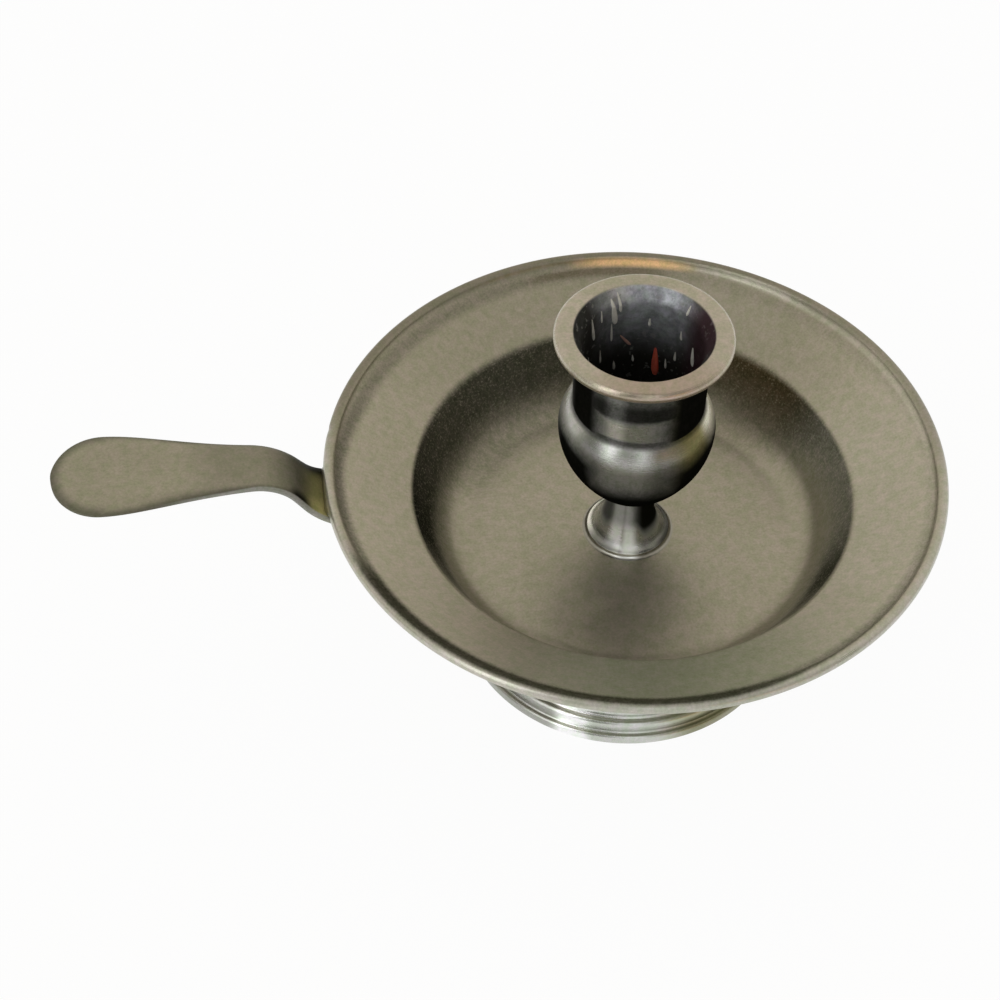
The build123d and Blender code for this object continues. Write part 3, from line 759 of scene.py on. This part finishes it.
pale_wax = wax_drops("pale_wax_drops", pale_runs)
pale_wax.data.materials.append(wax_finish("pale_old_wax", (0.42, 0.41, 0.37), (0.78, 0.76, 0.70)))
pink_wax = wax_drops("pink_wax_drops", pink_runs)
pink_wax.data.materials.append(wax_finish("pink_old_wax", (0.30, 0.13, 0.10), (0.55, 0.36, 0.30)))
red_wax = wax_drops("red_wax_drops", red_runs)
red_wax.data.materials.append(wax_finish("red_old_wax", (0.50, 0.05, 0.03), (0.68, 0.16, 0.10)))
for drops in (pale_wax, pink_wax, red_wax):
    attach(drops, "root")

# The handle: a cast pewter bar with a spoon end, filed smooth with soft edges, bent down in an S and
# ending in a tongue under the brim. It is carried as a rounded section along its middle line.
handle_low, handle_high = 1000 * np.array(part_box("handle"))
handle_reach = -handle_low[0]
tip_height = handle_high[2]
tongue_end = -handle_high[0]
bar_thickness = 2.2
tip_thickness = 1.4
rise_slope = np.tan(np.radians(3.7))
drop_turn = np.radians(54.0)
drop_point = np.array([pan_radius + 3.5, reed_centre[1] + 2.7])
solder_film = 0.1
bend_shares = (0.545, 0.21)
spoon_tip = 9.3
spoon_half = 10.2
neck_reach = pan_radius + 6.5
neck_half = 5.6
tongue_reach = pan_radius - 4.0
tongue_half = 7.3
flank_shares = (0.45, 0.25)
flare_shares = (0.35, 0.35)

drop_slope = np.array([np.cos(drop_turn), np.sin(drop_turn)])
grip_slope = np.array([1, rise_slope]) / np.hypot(1, rise_slope)
tip_point = np.array([handle_reach, tip_height])
tongue_point = brim_under - brim_normal * solder_film
upper_bend = crossing(tip_point, grip_slope, drop_point, drop_slope)
lower_bend = crossing(tongue_point, brim_slope, drop_point, drop_slope)
tongue_tip = tongue_point + brim_slope * (tongue_end - tongue_point[0]) / brim_slope[0]
drop_run = np.linalg.norm(upper_bend - lower_bend)
upper_radius = drop_run * bend_shares[0] / np.tan((drop_turn - np.arctan(rise_slope)) / 2)
lower_radius = drop_run * bend_shares[1] / np.tan((drop_turn - brim_angle) / 2)
handle_line = rounded([tongue_tip, lower_bend, upper_bend, tip_point], [lower_radius, upper_radius], 40)
line_length = np.append(0, np.cumsum(np.linalg.norm(np.diff(handle_line, axis=0), axis=1)))

flare_run = neck_reach - tongue_reach
spoon_reach = handle_reach - spoon_tip
spoon_run = spoon_reach - neck_reach
half_outline = np.vstack([
    [(tongue_end, tongue_half)],
    bezier(np.array([
        (tongue_reach, tongue_half),
        (tongue_reach + flare_run * flare_shares[1], tongue_half),
        (neck_reach - flare_run * flare_shares[0], neck_half),
        (neck_reach, neck_half),
    ])),
    bezier(np.array([
        (neck_reach, neck_half),
        (neck_reach + spoon_run * flank_shares[0], neck_half),
        (spoon_reach - spoon_run * flank_shares[1], spoon_half),
        (spoon_reach, spoon_half),
    ])),
    arc((spoon_reach, 0), (spoon_tip, spoon_half), 90, -90, 160),
])


def bar(name, stations, points_round):
    """The handle's surface: at each station along the middle line stands a section
    |across / half width| ** 5 + |up / half thickness| ** 2 = 1, square to the line. The half width
    follows the plan outline, and both ends close in over a short quarter round."""
    ease = (1 - np.cos(np.linspace(0, np.pi, stations))) / 2
    along = ease * line_length[-1]
    out = np.interp(along, line_length, handle_line[:, 0])
    up = np.interp(along, line_length, handle_line[:, 1])
    slope = np.gradient(up, out)
    normal = np.stack([-slope, np.ones_like(slope)], 1) / np.hypot(1, slope)[:, None]
    half_width = np.interp(out, half_outline[:, 0], half_outline[:, 1])
    grip_share = np.clip((out - neck_reach) / (handle_reach - neck_reach), 0, 1)
    thick = bar_thickness + (tip_thickness - bar_thickness) * grip_share
    end_gap = np.minimum(along, line_length[-1] - along)
    thick = thick * np.sqrt(1 - (1 - np.clip(end_gap / (thick / 2), 0, 1)) ** 2)
    round_angle = np.linspace(0, 2 * np.pi, points_round, endpoint=False)[None, :]
    across = np.sign(np.cos(round_angle)) * np.abs(np.cos(round_angle)) ** (2 / 5)
    above = np.sign(np.sin(round_angle)) * np.abs(np.sin(round_angle))
    lift = (above - 1) * thick[:, None] / 2
    points = np.stack([
        -(out[:, None] + normal[:, :1] * lift),
        across * half_width[:, None],
        up[:, None] + normal[:, 1:] * lift,
    ], -1)
    return grid_mesh(name, points, along, False)


handle = bar("spoon_handle", 260, 96)
filed = Pewter("filed_handle_pewter", patch_size=0.012)
stretched = filed.place.node(
    "ShaderNodeVectorMath", {"operation": "MULTIPLY"}, {0: filed.place, 1: (120.0, 2600.0, 2600.0)}
)
strokes = noise(stretched, 1.0, 3.0, 0.6)
handle_tone = tint(filed.patches, (0.30, 0.285, 0.215), (0.39, 0.37, 0.285))
uv_handle = filed.place.node("ShaderNodeUVMap", {"uv_map": "along"})
turn_share = filed.place.node("ShaderNodeSeparateXYZ", None, {0: uv_handle})
across_share = turn_share.math("COSINE", turn_share * (2 * np.pi))
# Painted shade towards the edges, along the near side and in the bend, a painted highlight on the near
# edge, an olive root, and a small dark spot at the root's near side.
edge_wobble = (filed.patches - 0.5) * 0.5
tip_share = (filed.x * 1000 + spoon_reach) * (-1 / spoon_tip)
edge_shade = step(abs(across_share) + edge_wobble, 0.55, 1.0)
near_edge_highlight = step(across_share * -1 + step(filed.x, -0.0800, -0.0700) * 0.12, 0.86, 0.98)
near_edge_highlight = near_edge_highlight * step(filed.x, -0.0960, -0.0800)
bend_shade = step(filed.x, -0.0900, -0.0780) * 0.25 + step(filed.x, -0.0730, -0.0625) * 0.72
bend_shade = bend_shade * (0.86 + step(across_share, -0.6, 0.7) * 0.2)
near_shade = step(across_share * -1, 0.3, 0.7) * (1 - step(filed.x, -0.0900, -0.0780))
near_shade = near_shade * step(filed.patches, 0.38, 0.6) * step(filed.x, -0.1080, -0.0980)
tip_out = tip_share.math("MAXIMUM", tip_share, 0.0)
tip_ring = (tip_out * tip_out + (filed.y * (1000 / spoon_half)) ** 2.0) ** 0.5
tip_edge_shade = step(tip_ring, 0.72, 1.0) * step(tip_share, -0.3, 0.1)
edge_shade = edge_shade.math("MAXIMUM", edge_shade, tip_edge_shade)
root = step(filed.x, -0.0660, -0.0615) * step(across_share * -1, -0.5, 0.5)
root_dark_spot = (1 - step(abs(filed.x + 0.0655), 0.0004, 0.0022)) * step(across_share * -1, 0.1, 0.7)
handle_tone = tint(edge_shade * 0.75, handle_tone, (0.085, 0.085, 0.062))
handle_tone = tint(near_shade * 0.4, handle_tone, (0.07, 0.07, 0.05))
handle_tone = tint(bend_shade, handle_tone, (0.016, 0.016, 0.009))
handle_tone = tint(root * 0.85, handle_tone, (0.44, 0.41, 0.17))
handle_tone = tint(root_dark_spot * 0.9, handle_tone, (0.004, 0.004, 0.002))
handle_tone = tint(near_edge_highlight * 0.85, handle_tone, (0.36, 0.365, 0.34))
handle_tone = filed.mottled(handle_tone, 0.5)
handle_dull = 0.30 + filed.patches * 0.1 + strokes * 0.06 + edge_shade * 0.1
handle_metal = 0.85 - edge_shade * 0.45 - bend_shade * 0.45
handle_relief = strokes * 0.6 + filed.grain * 0.4
handle.data.materials.append(filed.finish(handle_tone, handle_dull, handle_metal, handle_relief))
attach(handle, "root")
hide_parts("handle")

# The solder: fillets wiped round the stem, the bulb's seat, the foot's flange and the handle's tongue.
# They keep the frame's own solids and take a duller, greyer metal with a ripple from the iron, with a
# painted highlight in front.
wiped = Pewter("wiped_solder", patch_size=0.004)
ripple = noise(wiped.place, 900.0, 3.0, 0.6)
solder_tone = tint(ripple, (0.22, 0.21, 0.18), (0.46, 0.45, 0.40))
solder_front_highlight = (1 - step(abs(wiped.flank + 0.08), 0.1, 0.4)) * step(wiped.back * -1, 0.3, 0.8)
solder_tone = tint(solder_front_highlight * 0.9, solder_tone, (0.95, 0.95, 0.92))
solder = wiped.finish(solder_tone, 0.22 + ripple * 0.2, 1.0, ripple, 0.0001, 0.4)
for joint in ("stem_solder", "socket_solder", "foot_solder", "handle_solder"):
    frame["nodes"][joint].data.materials.clear()
    frame["nodes"][joint].data.materials.append(solder)

# The studio: a plain pale floor and a soft surround that is dimmer on the camera's side. The surround
# holds two tall panels of cool light at the front left and the front, a narrow dark one between them,
# and a low warm one at the front right.
floor_size = 3.0
floor_colour = (0.90, 0.90, 0.89, 1.0)
floor_mesh = bpy.data.meshes.new("studio_floor")
floor_corners = [(-floor_size, -floor_size, 0), (floor_size, -floor_size, 0), (floor_size, floor_size, 0)]
floor_mesh.from_pydata(floor_corners + [(-floor_size, floor_size, 0)], [], [(0, 1, 2, 3)])
floor = bpy.data.objects.new("studio_floor", floor_mesh)
bpy.context.scene.collection.objects.link(floor)
floor_paint = bpy.data.materials.new("pale_floor")
floor_paint.use_nodes = True
floor_paint.node_tree.nodes.clear()
pale = Shade(floor_paint.node_tree)
rays = [pale.node("ShaderNodeLightPath", None, None, ray) for ray in (0, 3, 6)]
seen = pale.math("MINIMUM", rays[0] + rays[1] + rays[2], 1.0)
matt = pale.node("ShaderNodeBsdfDiffuse", None, {"Color": floor_colour})
glow = pale.node("ShaderNodeEmission", None, {"Color": (1, 1, 1, 1), "Strength": 1.0})
ground = pale.node("ShaderNodeMixShader", None, {0: seen * 0.95, 1: matt, 2: glow})
pale.node("ShaderNodeOutputMaterial", None, {"Surface": ground})
floor.data.materials.append(floor_paint)

world = bpy.data.worlds.new("soft_surround")
bpy.context.scene.world = world
world.use_nodes = True
world.node_tree.nodes.clear()
sky = Shade(world.node_tree)
direction = sky.node("ShaderNodeTexCoord", output=0)


def towards(vector):
    """How far the view direction leans along a vector."""
    sockets = {0: direction, 1: tuple(vector)}
    return sky.node("ShaderNodeVectorMath", {"operation": "DOT_PRODUCT"}, sockets, 1)


def panel(turn, lift, width, height, soft):
    """A soft-edged bright panel in the surround, at an angle round Z and a height, as shares of 1."""
    ahead = np.array([np.cos(np.radians(turn)), np.sin(np.radians(turn)), 0])
    across = 1 - step(abs(towards((-ahead[1], ahead[0], 0))), width / 2, width / 2 + soft)
    upward = 1 - step(abs(towards((0, 0, 1)) - lift), height / 2, height / 2 + soft)
    return across * upward * step(towards(ahead), 0.0, 0.2)


surround = tint(step(towards((0.15, 0.95, 0.1)), -0.7, 0.3), (0.33, 0.32, 0.30), (0.76, 0.72, 0.64))
surround = tint(panel(-113, 0.60, 0.06, 0.60, 0.12), surround, (0.06, 0.06, 0.055))
surround = tint(panel(-60, 0.18, 0.30, 0.20, 0.15), surround, (0.95, 0.70, 0.45))
surround = tint(panel(-143, 0.42, 0.26, 0.70, 0.12), surround, (2.4, 2.45, 2.45))
surround = tint(panel(-91, 0.42, 0.16, 0.70, 0.12), surround, (1.3, 1.35, 1.35))
backdrop = sky.node("ShaderNodeBackground", None, {"Color": surround, "Strength": 1.0})
sky.node("ShaderNodeOutputWorld", None, {"Surface": backdrop})

# The camera: it stands above the front, turned a little towards the handle, level and without shift.
# Its place, its two axes and its lens are fitted to the object's outline.
camera_place = (-0.05789, -0.21606, 0.28641)
camera_right = np.array([0.98968, -0.14332, 0.0])
camera_up = np.array([0.10716, 0.73996, 0.66406])
lens = bpy.data.cameras.new("photo_camera")
lens.lens = 59.36
lens.sensor_width = 36.0
camera = bpy.data.objects.new("photo_camera", lens)
camera.matrix_world = Matrix.Translation(camera_place) @ Matrix(
    np.stack([camera_right, camera_up, np.cross(camera_right, camera_up)], 1).tolist()
).to_4x4()
bpy.context.scene.collection.objects.link(camera)
bpy.context.scene.camera = camera
bpy.context.scene.view_settings.view_transform = "Standard"
